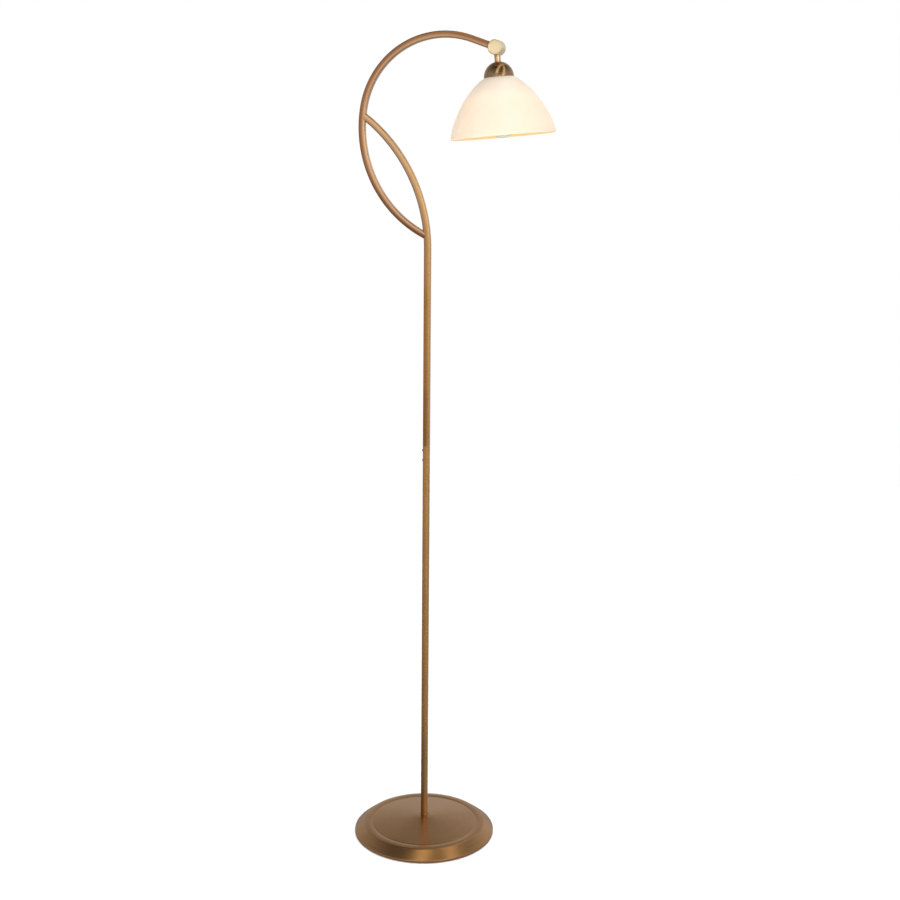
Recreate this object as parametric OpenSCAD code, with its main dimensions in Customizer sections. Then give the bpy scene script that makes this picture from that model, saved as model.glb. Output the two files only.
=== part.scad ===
// Pharmacy floor lamp: round weighted base, square tube pole with a bolted
// joint, an arm that curls up and over, and a tilting bell-shaped glass shade.
// Millimetres, +Z up. The origin is the middle of the base on the floor, and
// the arm curls in the XZ plane, with the shade on the +X side.

/* [Base] */
// Radius of the base plate
base_r = 134.4; // [130:0.2:140]
// Height of the upright lip at the edge of the base
lip_h = 5; // [4:0.5:6]
// Radius of the raised ring on the base
ring_r = 115.4; // [113:0.2:118]
// Height of the raised ring
ring_z = 19.4; // [18:0.2:21]
// Radius of the groove inside the raised ring
groove_r = 101; // [98:0.5:104]
// Height of the base where the pole stands
base_h = 30.6; // [29:0.2:32]

/* [Pole] */
// Width of the square tube that the pole and the arm are made of
tube_w = 12; // [11.6:0.1:12.4]
// Outer corner radius of the square tube
tube_corner = 2; // [1.5:0.1:2.5]
// Height of the seam where the pole comes apart
seam_z = 767; // [700:1:820]
// Height of the upper screw of the seam
screw_z = 758; // [690:1:758]
// Distance between the two screws of the seam
screw_pitch = 18.5; // [14:0.5:24]

/* [Arm] */
// Height of the lamp at the top of the arm
lamp_h = 1500; // [1480:1:1520]
// Radius of the arm's upper bend, to the middle of the tube
upper_bend_r = 148; // [146:0.5:150]
// Distance from the pole to the centre of the upper bend
upper_bend_x = 28.5; // [28:0.5:30]
// Radius of the arm's lower bend, to the middle of the tube
lower_bend_r = 207; // [205:0.5:209]
// Direction from the bend's centre at which the two bends meet
bend_meet = 170; // [169:0.5:171]
// Direction from the bend's centre at which the upper bend ends
bend_end = 70.8; // [70:0.2:72]
// Length of the straight end of the arm, to the knuckle's axis
stub_l = 45; // [44:0.5:46]
// Radius of the branch that runs from the pole to the arm
branch_r = 287; // [285:1:289]
// Height at which the branch leaves the upright
branch_z = 1125; // [1123:1:1127]

/* [Head] */
// Tilt of the head, with the opening towards the reader
head_tilt = 5.5; // [0:0.1:8]
// Radius of the knuckle
knuckle_r = 12.8; // [12.6:0.1:13]
// Length of the knuckle over its two caps
knuckle_l = 36; // [34:0.5:38]
// Radius of the cup above the shade
cup_r = 26; // [26:0.1:26.5]
// Depth of the cup's mouth below the knuckle's axis
cup_d = 48.8; // [48.7:0.1:48.9]
// Outer radius of the shade's rim
shade_r = 92; // [90:0.5:94]
// Depth of the shade's rim below the knuckle's axis
shade_d = 149.3; // [147:0.1:150]
// Thickness of the shade's glass
glass_t = 3; // [2.5:0.1:3.2]
// Radius of the bulb
bulb_r = 27.5; // [25:0.5:30]
// Depth of the bulb's tip below the knuckle's axis
bulb_d = 151.3; // [149:0.1:152]

/* [Hidden] */
$fn = 96;
bronze = "#8a6236";
dark_bronze = "#5b4630";
bright = "#ead6ae";
steel = "#b9bcbf";

// Reach of a cutting shape past the solid that it cuts
past = 5;

// Base: sheet cover, cast weight and felt pad
cover_t = 1.2;
cover_gap = 0.6;
pad_t = 2;
pad_r = 130;
weight_r = 121;
weight_step_r = 108;
weight_step_z = 8;
weight_top_z = 16;
boss_r = 24;
boss_z = 26.5;
seat_r = 12;
recess_r = 20;
recess_z = 20;
hole_r = 4.2;

// Hollow threaded stud that holds the pole down
stud_r = 4;
stud_bore_r = 2.9;
stud_z0 = 14;
stud_z1 = 50;
washer_t = 1.5;
washer_r = 12;
nut_t = 4.5;
nut_r = 7.5;
plug_z1 = 56;

// Cable and where it enters the base
cable_r = 2.6;
cable_z = 7.2;
cable_foot_bend = 8;
cable_start_y = 120;
groove_w = 8;
groove_z1 = 11.2;
grommet_r = 4.6;
grommet_bore_r = 3.1;
grommet_y0 = 121.5;
grommet_y1 = 137;
grommet_collar_r = 5;
grommet_collar_y1 = 122.5;
// Direction of the cable's inlet, from +Y towards -X
inlet_turn = 13.6;

// Square tube and its seam
tube_wall = 1;
bore_w = tube_w - 2 * tube_wall;
bore_corner = tube_corner - tube_wall;
spigot_half = 40;
spigot_wall = 1.2;
screw_r = 1.5;
screw_head_r = 2.75;
screw_head_h = 2;
screw_l = 3;

// Centres of the arm's bends, in the XZ plane
upper_c = [upper_bend_x, lamp_h - tube_w / 2 - upper_bend_r];
lower_c = upper_c + (upper_bend_r - lower_bend_r) * [cos(bend_meet), sin(bend_meet)];
stub_dir = bend_end - 90;
bend_tip = upper_c + upper_bend_r * [cos(bend_end), sin(bend_end)];
pivot = bend_tip + stub_l * [cos(stub_dir), sin(stub_dir)];
// Direction, from the lower bend's centre, of its foot on the upright's axis
arm_foot = 180 + acos(lower_c[0] / lower_bend_r);
// Direction, from the branch's centre, at which it is inside the arm's tube
branch_end = 53.5;

// The cable turns from the upright into the lower bend on one tangent arc
cable_turn_r = 24;
turn_sum = lower_bend_r + cable_turn_r;
turn_rise = sqrt(turn_sum * turn_sum - (lower_c[0] + cable_turn_r) * (lower_c[0] + cable_turn_r));
cable_turn_z = lower_c[1] - turn_rise;
cable_turn = acos((lower_c[0] + cable_turn_r) / turn_sum);
cable_hole_r = 3.4;

// Knuckle, measured from its axis
cap_t = 3;
barrel_half = knuckle_l / 2 - cap_t;
slot_half = 6.3;
eye_r = 8.5;
eye_half = 5;
slot_r = 8.9;
slot_from = 40;
slot_to = 240;
neck_half = 4.4;
plate_d0 = 14.1;
tube_end_d = 15.3;
spigot_end_d = 28;
channel_r = 3;
cable_end_d = 10;
bolt_r = 2.5;
bolt_clearance = 0.05;
bolt_head_r = 4.25;
bolt_head_t = 3;
pocket_r = 4.6;
pocket_y = 9;
cap_spigot_t = 0.8;
cap_spigot_r = 3.8;
nut_corner_r = 4.5;
knuckle_nut_t = 3;
friction_r = 7.5;
friction_t = 1;

// Head, as depths below the knuckle's axis and radii about the head's axis
nipple_r = 5;
nipple_bore_r = 3.5;
nipple_d0 = 9.3;
nipple_d1 = 32.3;
sleeve_r = 5.6;
cup_wall = 1.5;
cup_flat_d = cup_d - sqrt(cup_r * cup_r - sleeve_r * sleeve_r);
cup_nut_r = 8;
cup_nut_d0 = 25.7;
cup_nut_d1 = 29.7;
holder_cap_d0 = 30.3;
holder_cap_d1 = 41.3;
holder_cap_r = 11;
holder_r = 19.5;
holder_wall = 2;
holder_slope_d = 37.3;
holder_end_d = 75.3;
flange_r = 23.6;
shade_top_d = cup_d + 0.4;
flange_d0 = shade_top_d - 2.5;
shade_hole_r = 20;
shade_flat_r = 25.5;
ring_out_r = 25;
ring_d1 = 58.3;
insert_d0 = 42.3;
insert_d1 = 51.3;
shell_in_r = 13.4;
shell_out_r = 14.4;
shell_end_d = 73.3;
contact_r = 3.5;
contact_end_d = 53.3;
bulb_base_r = 13.2;
bulb_base_d0 = 55.3;
bulb_base_d1 = 79.3;
bulb_base_wall = 0.6;
bulb_tip_r = 4.5;
bulb_neck_r = 12.4;
bulb_neck_d = 77.3;
bulb_wall = 1;
head_cable_d1 = insert_d0;

// A point on a cubic curve, and the direction square to the curve there
function curve(p, t) = (1 - t) * (1 - t) * (1 - t) * p[0] + 3 * (1 - t) * (1 - t) * t * p[1]
    + 3 * (1 - t) * t * t * p[2] + t * t * t * p[3];
function slope(p, t) = (1 - t) * (1 - t) * (p[1] - p[0]) + 2 * (1 - t) * t * (p[2] - p[1])
    + t * t * (p[3] - p[2]);
function inward(v) = [-v[1], v[0]] / norm(v);
function wall_point(p, t, depth) = curve(p, t) + depth * inward(slope(p, t));

// Radius and depth along the shade's outside, from its flat top to its rim
shade_curve = [[shade_flat_r, shade_top_d], [shade_r - 21, shade_top_d + 26],
    [shade_r + 2, shade_d - 10], [shade_r, shade_d - glass_t / 2]];
// Radius and depth along the bulb's neck, from its base to its widest place
bulb_centre_d = bulb_d - bulb_r;
bulb_curve = [[bulb_neck_r, bulb_neck_d], [bulb_neck_r, bulb_neck_d + 19],
    [bulb_r, bulb_centre_d - 19], [bulb_r, bulb_centre_d]];
curve_steps = 18;

// The square tube's section, with round corners
module tube_section(w, r) {
    square([w, w - 2 * r], center = true);
    square([w - 2 * r, w], center = true);
    for (x = [-1, 1], y = [-1, 1])
        translate([x, y] * (w / 2 - r)) circle(r = r, $fn = 32);
}

// Sweeps a section along an arc in the XZ plane, angles from +X towards +Z
module arc_sweep(centre, r, from, to) {
    translate([centre[0], 0, centre[1]])
        rotate([90, 0, 0])
            rotate([0, 0, from])
                rotate_extrude(angle = to - from, $fn = 240)
                    translate([r, 0]) children();
}

// The upper bend's own frame, with X from its centre in the given direction
module in_bend(direction) {
    translate([upper_c[0], 0, upper_c[1]]) rotate([90, 0, 0]) rotate([0, 0, direction]) children();
}

// The three stretches of the arm's path, each starting where its neighbour ends
module upper_bend_sweep() {
    in_bend(bend_meet)
        rotate_extrude(angle = bend_end - bend_meet, $fn = 240)
            translate([upper_bend_r, 0]) children();
}

module lower_bend_sweep(to) {
    in_bend(bend_meet)
        translate([upper_bend_r - lower_bend_r, 0, 0])
            rotate_extrude(angle = to - bend_meet, $fn = 240)
                translate([lower_bend_r, 0]) children();
}

// The knuckle's axis, in the frame of the arm's straight end
module at_arm_end() {
    in_bend(bend_end) translate([upper_bend_r, -stub_l, 0]) children();
}

// Distances from the knuckle's axis, back along the arm's straight end
module stub_sweep(d0, d1) {
    in_bend(bend_end)
        translate([upper_bend_r, d0 - stub_l, 0])
            rotate([-90, 0, 0]) linear_extrude(d1 - d0) children();
}

module upright(z0, z1) {
    translate([0, 0, z0]) linear_extrude(z1 - z0) children();
}

module y_rod(r, y0, y1, sides = 64) {
    translate([0, y1, 0]) rotate([90, 0, 0]) cylinder(r = r, h = y1 - y0, $fn = sides);
}

// The cable's line where it runs under the base, with +Y pointing out at the inlet
module at_inlet() {
    rotate([0, 0, inlet_turn]) translate([0, 0, cable_z]) children();
}

// Places the head's parts, drawn hanging straight down from the knuckle's axis
module in_head() {
    translate([pivot[0], 0, pivot[1]]) rotate([0, -head_tilt, 0]) children();
}

module head_rod(r, d0, d1) {
    translate([0, 0, -d1]) cylinder(r = r, h = d1 - d0);
}

// Turns an outline of radii and depths about the head's axis
module head_turned(outline) {
    rotate_extrude($fn = 144) polygon([for (p = outline) [p[0], -p[1]]]);
}

// Outline of the base's sheet, moved inwards by the sheet's thickness
module cover_outline(t) {
    polygon([[0, -past], [base_r - t, -past], [base_r - t, lip_h - t / 2],
        [ring_r + 1.2 - t / 2, ring_z - 0.8 - t], [ring_r - 0.9, ring_z - t],
        [(ring_r + groove_r) / 2, ring_z + 0.7 - t], [groove_r + 1.5, ring_z + 0.4 - t],
        [groove_r, ring_z - 0.1 - t], [groove_r - 2, ring_z + 0.5 - t],
        [seat_r, base_h - t], [0, base_h - t]]);
}

module base_cover() {
    color(bronze) difference() {
        rotate_extrude($fn = 180) intersection() {
            difference() {
                cover_outline(0);
                cover_outline(cover_t);
            }
            translate([0, cover_gap]) square([base_r + past, base_h]);
        }
        cylinder(r = hole_r, h = base_h + past);
        at_inlet() y_rod(grommet_r, weight_step_r, base_r + past);
    }
}

module base_weight() {
    color("#4a4a4c") difference() {
        union() {
            translate([0, 0, pad_t]) cylinder(r = weight_r, h = weight_step_z - pad_t);
            translate([0, 0, pad_t]) cylinder(r = weight_step_r, h = weight_top_z - pad_t);
            translate([0, 0, pad_t]) cylinder(r = boss_r, h = boss_z - pad_t);
            translate([0, 0, pad_t]) cylinder(r = seat_r, h = base_h - cover_t - pad_t);
        }
        cylinder(r = recess_r, h = recess_z);
        cylinder(r = hole_r, h = base_h + past);
        rotate([0, 0, inlet_turn]) translate([-groove_w / 2, 0, 0])
            cube([groove_w, weight_r + past, groove_z1]);
    }
}

module base_pad() {
    color("#2f2c2a") cylinder(r = pad_r, h = pad_t);
}

module base_stud() {
    color(steel) translate([0, 0, stud_z0]) difference() {
        cylinder(r = stud_r, h = stud_z1 - stud_z0);
        translate([0, 0, -past]) cylinder(r = stud_bore_r, h = stud_z1 + past);
    }
}

module base_washer() {
    color(steel) translate([0, 0, recess_z - washer_t]) difference() {
        cylinder(r = washer_r, h = washer_t);
        translate([0, 0, -past]) cylinder(r = hole_r, h = washer_t + 2 * past);
    }
}

module base_nut() {
    color(steel) translate([0, 0, recess_z - washer_t - nut_t]) difference() {
        cylinder(r = nut_r, h = nut_t, $fn = 6);
        translate([0, 0, -past]) cylinder(r = stud_r, h = nut_t + 2 * past);
    }
}

module cord_grommet() {
    color("#1d1c1b") at_inlet() difference() {
        union() {
            y_rod(grommet_r, grommet_y0, grommet_y1);
            y_rod(grommet_collar_r, grommet_y0, grommet_collar_y1);
        }
        y_rod(grommet_bore_r, grommet_y0 - past, grommet_y1 + past);
    }
}

module pole_foot_plug() {
    color(steel) difference() {
        upright(base_h, plug_z1) tube_section(bore_w, bore_corner);
        cylinder(r = stud_bore_r, h = plug_z1 + past);
        cylinder(r = stud_r, h = stud_z1);
    }
}

module screw_holes() {
    for (k = [0, 1])
        translate([-tube_w / 2 - past, 0, screw_z - k * screw_pitch])
            rotate([0, 90, 0]) cylinder(r = screw_r, h = tube_w / 2 + past, $fn = 32);
}

module lower_pole() {
    color(bronze) difference() {
        upright(base_h, seam_z) tube_section(tube_w, tube_corner);
        upright(base_h - past, seam_z + past) tube_section(bore_w, bore_corner);
        screw_holes();
    }
}

module joint_spigot() {
    color(steel) difference() {
        upright(seam_z - spigot_half, seam_z + spigot_half) tube_section(bore_w, bore_corner);
        upright(seam_z - spigot_half - past, seam_z + spigot_half + past)
            square(bore_w - 2 * spigot_wall, center = true);
        screw_holes();
    }
}

module joint_screws() {
    color(dark_bronze) for (k = [0, 1])
        translate([-tube_w / 2, 0, screw_z - k * screw_pitch]) rotate([0, 90, 0]) {
            cylinder(r = screw_r, h = screw_l, $fn = 32);
            difference() {
                scale(screw_head_r) sphere(r = 1, $fn = 48);
                translate([-past, -past, 0]) cube(2 * past);
                translate([-past, -past, -screw_head_h - 2 * past]) cube(2 * past);
            }
        }
}

module upper_pole() {
    color(bronze) difference() {
        union() {
            upright(seam_z, branch_z) tube_section(tube_w, tube_corner);
            arc_sweep([-branch_r, branch_z], branch_r, 0, branch_end) tube_section(tube_w, tube_corner);
        }
        upright(seam_z - past, branch_z) tube_section(bore_w, bore_corner);
        arc_sweep([-branch_r, branch_z], branch_r, 0, branch_end + 2) tube_section(bore_w, bore_corner);
        arc_sweep(lower_c, lower_bend_r, bend_meet - 5, bend_meet + 35) tube_section(tube_w, tube_corner);
        arc_sweep([-cable_turn_r, cable_turn_z], cable_turn_r, 0, cable_turn) circle(r = cable_hole_r);
    }
}

module arm() {
    color(bronze) difference() {
        union() {
            lower_bend_sweep(arm_foot) tube_section(tube_w, tube_corner);
            upper_bend_sweep() tube_section(tube_w, tube_corner);
            stub_sweep(tube_end_d, stub_l) tube_section(tube_w, tube_corner);
        }
        lower_bend_sweep(arm_foot + 2) tube_section(bore_w, bore_corner);
        upper_bend_sweep() tube_section(bore_w, bore_corner);
        stub_sweep(tube_end_d - past, stub_l) tube_section(bore_w, bore_corner);
        arc_sweep([-branch_r, branch_z], branch_r, -2, 16) square([tube_w, tube_w + past], center = true);
    }
}

module inner_cable() {
    color("#d9d6cf") {
        at_inlet() {
            y_rod(cable_r, cable_foot_bend, cable_start_y, 32);
            translate([0, cable_foot_bend, cable_foot_bend])
                rotate([-90, 0, 0]) rotate([0, 90, 0])
                    rotate_extrude(angle = 90, $fn = 64)
                        translate([cable_foot_bend, 0]) circle(r = cable_r, $fn = 32);
        }
        translate([0, 0, cable_z + cable_foot_bend])
            cylinder(r = cable_r, h = cable_turn_z - cable_z - cable_foot_bend, $fn = 32);
        arc_sweep([-cable_turn_r, cable_turn_z], cable_turn_r, 0, cable_turn) circle(r = cable_r, $fn = 32);
        lower_bend_sweep(180 + cable_turn) circle(r = cable_r, $fn = 32);
        upper_bend_sweep() circle(r = cable_r, $fn = 32);
        stub_sweep(cable_end_d, stub_l) circle(r = cable_r, $fn = 32);
    }
}

module knuckle_tongue() {
    color(bronze) difference() {
        union() {
            at_arm_end() cylinder(r = eye_r, h = 2 * eye_half, center = true);
            stub_sweep(0, plate_d0) square([2 * neck_half, 2 * neck_half], center = true);
            stub_sweep(plate_d0, tube_end_d) tube_section(tube_w, tube_corner);
            stub_sweep(tube_end_d, spigot_end_d) tube_section(bore_w, bore_corner);
        }
        at_arm_end() cylinder(r = bolt_r + bolt_clearance, h = 2 * (eye_half + past), center = true);
        stub_sweep(cable_end_d - 1, spigot_end_d + past) circle(r = channel_r);
    }
}

// The barrel is open between its cheeks on the side where the arm comes in
module barrel_slot() {
    y_rod(slot_r, -slot_half, slot_half);
    rotate([90, 0, 0]) translate([0, 0, -slot_half]) linear_extrude(2 * slot_half)
        polygon([[0, 0], for (k = [0:5]) let (a = slot_from + (slot_to - slot_from) * k / 5)
            2 * knuckle_r * [cos(a), sin(a)]]);
}

module knuckle_barrel() {
    color(bright) in_head() difference() {
        y_rod(knuckle_r, -barrel_half, barrel_half, 96);
        barrel_slot();
        y_rod(bolt_r, -barrel_half - past, barrel_half + past);
        y_rod(pocket_r, -barrel_half - past, -pocket_y);
        y_rod(nut_corner_r, pocket_y, barrel_half + past, 6);
        head_rod(nipple_r, nipple_d0 - 1, knuckle_r + past);
    }
}

module knuckle_bolt() {
    color(steel) in_head() {
        y_rod(bolt_r, -pocket_y, pocket_y + knuckle_nut_t);
        y_rod(bolt_head_r, -pocket_y - bolt_head_t, -pocket_y);
    }
}

module knuckle_nut() {
    color(steel) in_head() difference() {
        y_rod(nut_corner_r, pocket_y, pocket_y + knuckle_nut_t, 6);
        y_rod(bolt_r, pocket_y - past, pocket_y + knuckle_nut_t + past);
    }
}

module friction_washers() {
    color("#8c3b2a") in_head() for (side = [-1, 1])
        difference() {
            y_rod(friction_r, side * slot_half - (side > 0 ? friction_t : 0),
                side * slot_half + (side > 0 ? 0 : friction_t));
            y_rod(bolt_r, -2 * slot_half, 2 * slot_half);
        }
}

module end_cap() {
    y_rod(knuckle_r, -knuckle_l / 2, -barrel_half, 96);
    y_rod(cap_spigot_r, -barrel_half, -barrel_half + cap_spigot_t);
}

module knuckle_front_cap() {
    color(bright) in_head() end_cap();
}

module knuckle_rear_cap() {
    color(bright) in_head() mirror([0, 1, 0]) end_cap();
}

module stem_nipple() {
    color(steel) in_head() difference() {
        head_rod(nipple_r, nipple_d0, nipple_d1);
        head_rod(nipple_bore_r, nipple_d0 - past, nipple_d1 + past);
    }
}

module stem_sleeve() {
    color(dark_bronze) in_head() difference() {
        head_rod(sleeve_r, knuckle_r - 2, cup_flat_d);
        head_rod(nipple_r, knuckle_r - past, cup_flat_d + past);
        y_rod(knuckle_r, -barrel_half, barrel_half, 96);
    }
}

module cup() {
    color(dark_bronze) in_head() difference() {
        translate([0, 0, -cup_d]) sphere(r = cup_r, $fn = 144);
        intersection() {
            translate([0, 0, -cup_d]) sphere(r = cup_r - cup_wall, $fn = 144);
            head_rod(2 * cup_r, cup_nut_d0, 2 * cup_d);
        }
        head_rod(2 * cup_r, cup_d, 2 * cup_d);
        head_rod(2 * cup_r, 0, cup_flat_d);
        head_rod(nipple_r, 0, cup_d);
    }
}

module cup_nut() {
    color(steel) in_head() difference() {
        translate([0, 0, -cup_nut_d1]) cylinder(r = cup_nut_r, h = cup_nut_d1 - cup_nut_d0, $fn = 6);
        head_rod(nipple_r, 0, cup_d);
    }
}

module lampholder_cap() {
    color("#e9e4d8") in_head() head_turned([[nipple_r, holder_cap_d0], [holder_cap_r, holder_cap_d0],
        [holder_r, holder_slope_d], [holder_r, holder_cap_d1], [holder_r - holder_wall, holder_cap_d1],
        [holder_r - holder_wall, holder_slope_d + 1], [holder_cap_r - 1, holder_cap_d0 + holder_wall],
        [nipple_r, holder_cap_d0 + holder_wall]]);
}

module lampholder_body() {
    inner = holder_r - holder_wall;
    color("#e9e4d8") in_head() head_turned([[inner, holder_cap_d1], [holder_r, holder_cap_d1],
        [holder_r, flange_d0], [flange_r, flange_d0], [flange_r, shade_top_d],
        [holder_r, shade_top_d], [holder_r, holder_end_d], [inner, holder_end_d]]);
}

module lampholder_insert() {
    color("#f2efe8") in_head() difference() {
        head_rod(holder_r - holder_wall, insert_d0, insert_d1);
        for (y = [-9, 9]) translate([0, y, 0]) head_rod(1.6, insert_d0 - past, insert_d1 + past);
    }
}

module lampholder_contact() {
    color("#c9a24a") in_head() head_rod(contact_r, insert_d1, contact_end_d);
}

module lampholder_shell() {
    color("#c9a24a") in_head() difference() {
        head_rod(shell_out_r, insert_d1, shell_end_d);
        head_rod(shell_in_r, insert_d1 - past, shell_end_d + past);
    }
}

module shade_ring() {
    color("#e9e4d8") in_head() difference() {
        head_rod(ring_out_r, shade_top_d + glass_t, ring_d1);
        head_rod(holder_r, 0, ring_d1 + past);
    }
}

module shade() {
    outer = [for (k = [0:curve_steps]) curve(shade_curve, k / curve_steps)];
    inner = [for (k = [curve_steps:-1:1]) wall_point(shade_curve, k / curve_steps, glass_t)];
    rim_mid = curve(shade_curve, 1) + glass_t / 2 * inward(slope(shade_curve, 1));
    rim = [for (a = [-30:-30:-150]) rim_mid + glass_t / 2 * [cos(a), -sin(a)]];
    color("#fdf3dc") in_head() head_turned(concat([[shade_hole_r, shade_top_d]], outer, rim, inner,
        [[shade_flat_r - 0.5, shade_top_d + glass_t], [shade_hole_r, shade_top_d + glass_t]]));
}

module bulb_base() {
    color("#c9c9c4") in_head() head_turned([[0, contact_end_d], [bulb_tip_r, contact_end_d],
        [bulb_tip_r + 1, bulb_base_d0], [bulb_base_r, bulb_base_d0 + 4], [bulb_base_r, bulb_base_d1],
        [bulb_base_r - bulb_base_wall, bulb_base_d1], [bulb_base_r - bulb_base_wall, bulb_base_d0 + 4.5],
        [bulb_tip_r, bulb_base_d0 + 1], [0, bulb_base_d0 + 1]]);
}

module bulb_glass() {
    outer = [for (k = [0:curve_steps]) curve(bulb_curve, k / curve_steps)];
    tip = [for (a = [6:6:84]) [bulb_r * cos(a), bulb_centre_d + bulb_r * sin(a)]];
    hollow_r = bulb_r - bulb_wall;
    hollow_tip = [for (a = [84:-6:6]) [hollow_r * cos(a), bulb_centre_d + hollow_r * sin(a)]];
    inner = [for (k = [curve_steps:-1:0]) wall_point(bulb_curve, k / curve_steps, bulb_wall)];
    color("#fffaf0") in_head() head_turned(concat(outer, tip,
        [[0, bulb_d], [0, bulb_d - bulb_wall]], hollow_tip, inner));
}

module head_cable() {
    color("#d9d6cf") in_head() head_rod(cable_r, cable_end_d, head_cable_d1);
}

base_cover();
base_weight();
base_pad();
base_stud();
base_washer();
base_nut();
cord_grommet();
pole_foot_plug();
lower_pole();
joint_spigot();
joint_screws();
upper_pole();
arm();
inner_cable();
knuckle_tongue();
knuckle_barrel();
knuckle_bolt();
knuckle_nut();
friction_washers();
knuckle_front_cap();
knuckle_rear_cap();
stem_nipple();
stem_sleeve();
cup();
cup_nut();
lampholder_cap();
lampholder_body();
lampholder_insert();
lampholder_contact();
lampholder_shell();
shade_ring();
shade();
bulb_base();
bulb_glass();
head_cable();
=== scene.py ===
"""Looks of the pharmacy floor lamp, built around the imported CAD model.

Metres, +Z up. The origin is the middle of the base on the floor, the arm curls
in the XZ plane and the shade hangs on the +X side.
"""

import math

import bmesh
import bpy
from mathutils import Matrix, Vector


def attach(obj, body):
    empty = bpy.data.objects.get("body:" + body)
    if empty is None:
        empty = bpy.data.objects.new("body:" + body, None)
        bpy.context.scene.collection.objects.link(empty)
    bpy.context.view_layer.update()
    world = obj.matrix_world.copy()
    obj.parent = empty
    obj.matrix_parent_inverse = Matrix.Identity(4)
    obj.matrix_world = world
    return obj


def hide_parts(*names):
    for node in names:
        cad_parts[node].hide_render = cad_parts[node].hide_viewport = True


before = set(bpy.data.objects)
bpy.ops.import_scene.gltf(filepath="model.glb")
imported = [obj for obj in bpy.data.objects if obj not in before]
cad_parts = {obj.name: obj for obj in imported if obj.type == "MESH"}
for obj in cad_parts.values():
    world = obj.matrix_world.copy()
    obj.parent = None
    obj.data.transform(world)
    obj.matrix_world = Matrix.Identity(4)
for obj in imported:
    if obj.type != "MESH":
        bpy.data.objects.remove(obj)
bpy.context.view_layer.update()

MM = 0.001
TINY = 1e-7
STAND = "stand"
HEAD = "head"

# Base, in millimetres
BASE_R = 134.4
LIP_H = 5.0
RING_R = 115.4
RING_Z = 19.4
GROOVE_R = 101.0
BASE_H = 30.6
COVER_T = 1.2
COVER_GAP = 0.6
SEAT_R = 12.0
HOLE_R = 4.2
CABLE_Z = 7.2
GROMMET_R = 4.6
GROMMET_BORE_R = 3.1
GROMMET_Y0 = 121.5
GROMMET_Y1 = 137.0
GROMMET_COLLAR_R = 5.0
INLET_TURN = 13.6

# Square tube, its seam and screws
TUBE_W = 12.0
TUBE_CORNER = 2.0
TUBE_CROWN = 0.16
SEAM_Z = 767.0
SCREW_Z = 758.0
SCREW_PITCH = 18.5
SCREW_HEAD_R = 2.75
SCREW_HEAD_H = 2.0

# Arm: two bends and a straight end; the branch closes the leaf
UPPER_C = (28.5, 1346.0)
UPPER_R = 148.0
LOWER_R = 207.0
BEND_MEET = 170.0
BEND_END = 70.8
STUB_L = 45.0
TUBE_END = 15.3
BRANCH_R = 287.0
BRANCH_Z = 1125.0
BRANCH_END = 53.5
ARM_FOOT = 245.0

# Head, as depths below the knuckle's axis and radii about the head's axis
HEAD_TILT = 5.5
KNUCKLE_R = 12.8
KNUCKLE_HALF = 18.0
CAP_T = 3.0
SLOT_R = 8.9
SLOT_HALF = 6.3
SLOT_FROM = 40.0
SLOT_TO = 240.0
SLEEVE_R = 5.6
CUP_R = 26.0
CUP_D = 48.8
CUP_WALL = 1.5
SHADE_TOP_D = 49.2
SHADE_R = 92.0
SHADE_D = 149.3
SHADE_FLAT_R = 25.5
SHADE_HOLE_R = 20.0
GLASS_T = 3.0
HOLDER_R = 19.5
HOLDER_IN_R = 17.5
HOLDER_TOP_D = 41.3
HOLDER_END_D = 75.3
FLANGE_R = 23.6
FLANGE_D = 46.7
RING_OUT_R = 25.0
RING_D0 = 52.2
RING_D1 = 58.3
BULB_R = 27.5
BULB_D = 151.3
BULB_NECK_R = 12.4
BULB_NECK_D = 77.3
BULB_WALL = 1.0
BULB_BASE_R = 13.2
BULB_BASE_D0 = 55.3
BULB_BASE_D1 = 79.3
# Holes that the stem's nipple goes through
NIPPLE_HOLE_R = 5.02

# Camera, in millimetres, metres and radians
SENSOR_WIDTH = 36.0
LENS = 55.475
CAMERA_PLACE = (0.5880, -2.4252, 1.2993)
CAMERA_PAN = -0.0174
CAMERA_PITCH = 0.2132
CAMERA_ROLL = 0.0098

# Studio, in metres; its directions are unit vectors: towards the camera, and the planes of
# the two long softboxes
FLOOR_R = 3.4
FLOOR_DROP = 0.0004
FRONT = (0.2357, -0.9718, 0.0)
STRIP_TALL = (0.978, -0.190, -0.0886)
STRIP_RIGHT = (0.717, 0.588, -0.374)
STRIP_EDGE = 0.06
TALL_POWER = 2.1
RIGHT_POWER = 1.6
DIFFUSE_LEVEL = 0.3


def srgb(red, green, blue):
    """A colour given in 8-bit sRGB, as linear RGBA."""
    out = []
    for value in (red, green, blue):
        c = value / 255
        out.append(c / 12.92 if c <= 0.04045 else ((c + 0.055) / 1.055) ** 2.4)
    return (*out, 1.0)


# ---------------------------------------------------------------- outlines


def softened(points, steps=5):
    """A closed outline with its corners rounded; each point is (x, y, radius)."""
    out = []
    count = len(points)
    for k, (x, y, radius) in enumerate(points):
        here = Vector((x, y))
        if radius < TINY:
            out.append((x, y))
            continue
        to_last = Vector(points[k - 1][:2]) - here
        to_next = Vector(points[(k + 1) % count][:2]) - here
        turn = to_last.angle(to_next)
        reach = min(radius / math.tan(turn / 2), 0.48 * to_last.length, 0.48 * to_next.length)
        start = here + to_last.normalized() * reach
        end = here + to_next.normalized() * reach
        for j in range(steps + 1):
            t = j / steps
            p = (1 - t) ** 2 * start + 2 * t * (1 - t) * here + t**2 * end
            out.append((p.x, p.y))
    return out


def curve_point(p, t):
    a, b, c, d = (Vector(q) for q in p)
    return (1 - t) ** 3 * a + 3 * (1 - t) ** 2 * t * b + 3 * (1 - t) * t**2 * c + t**3 * d


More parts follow.
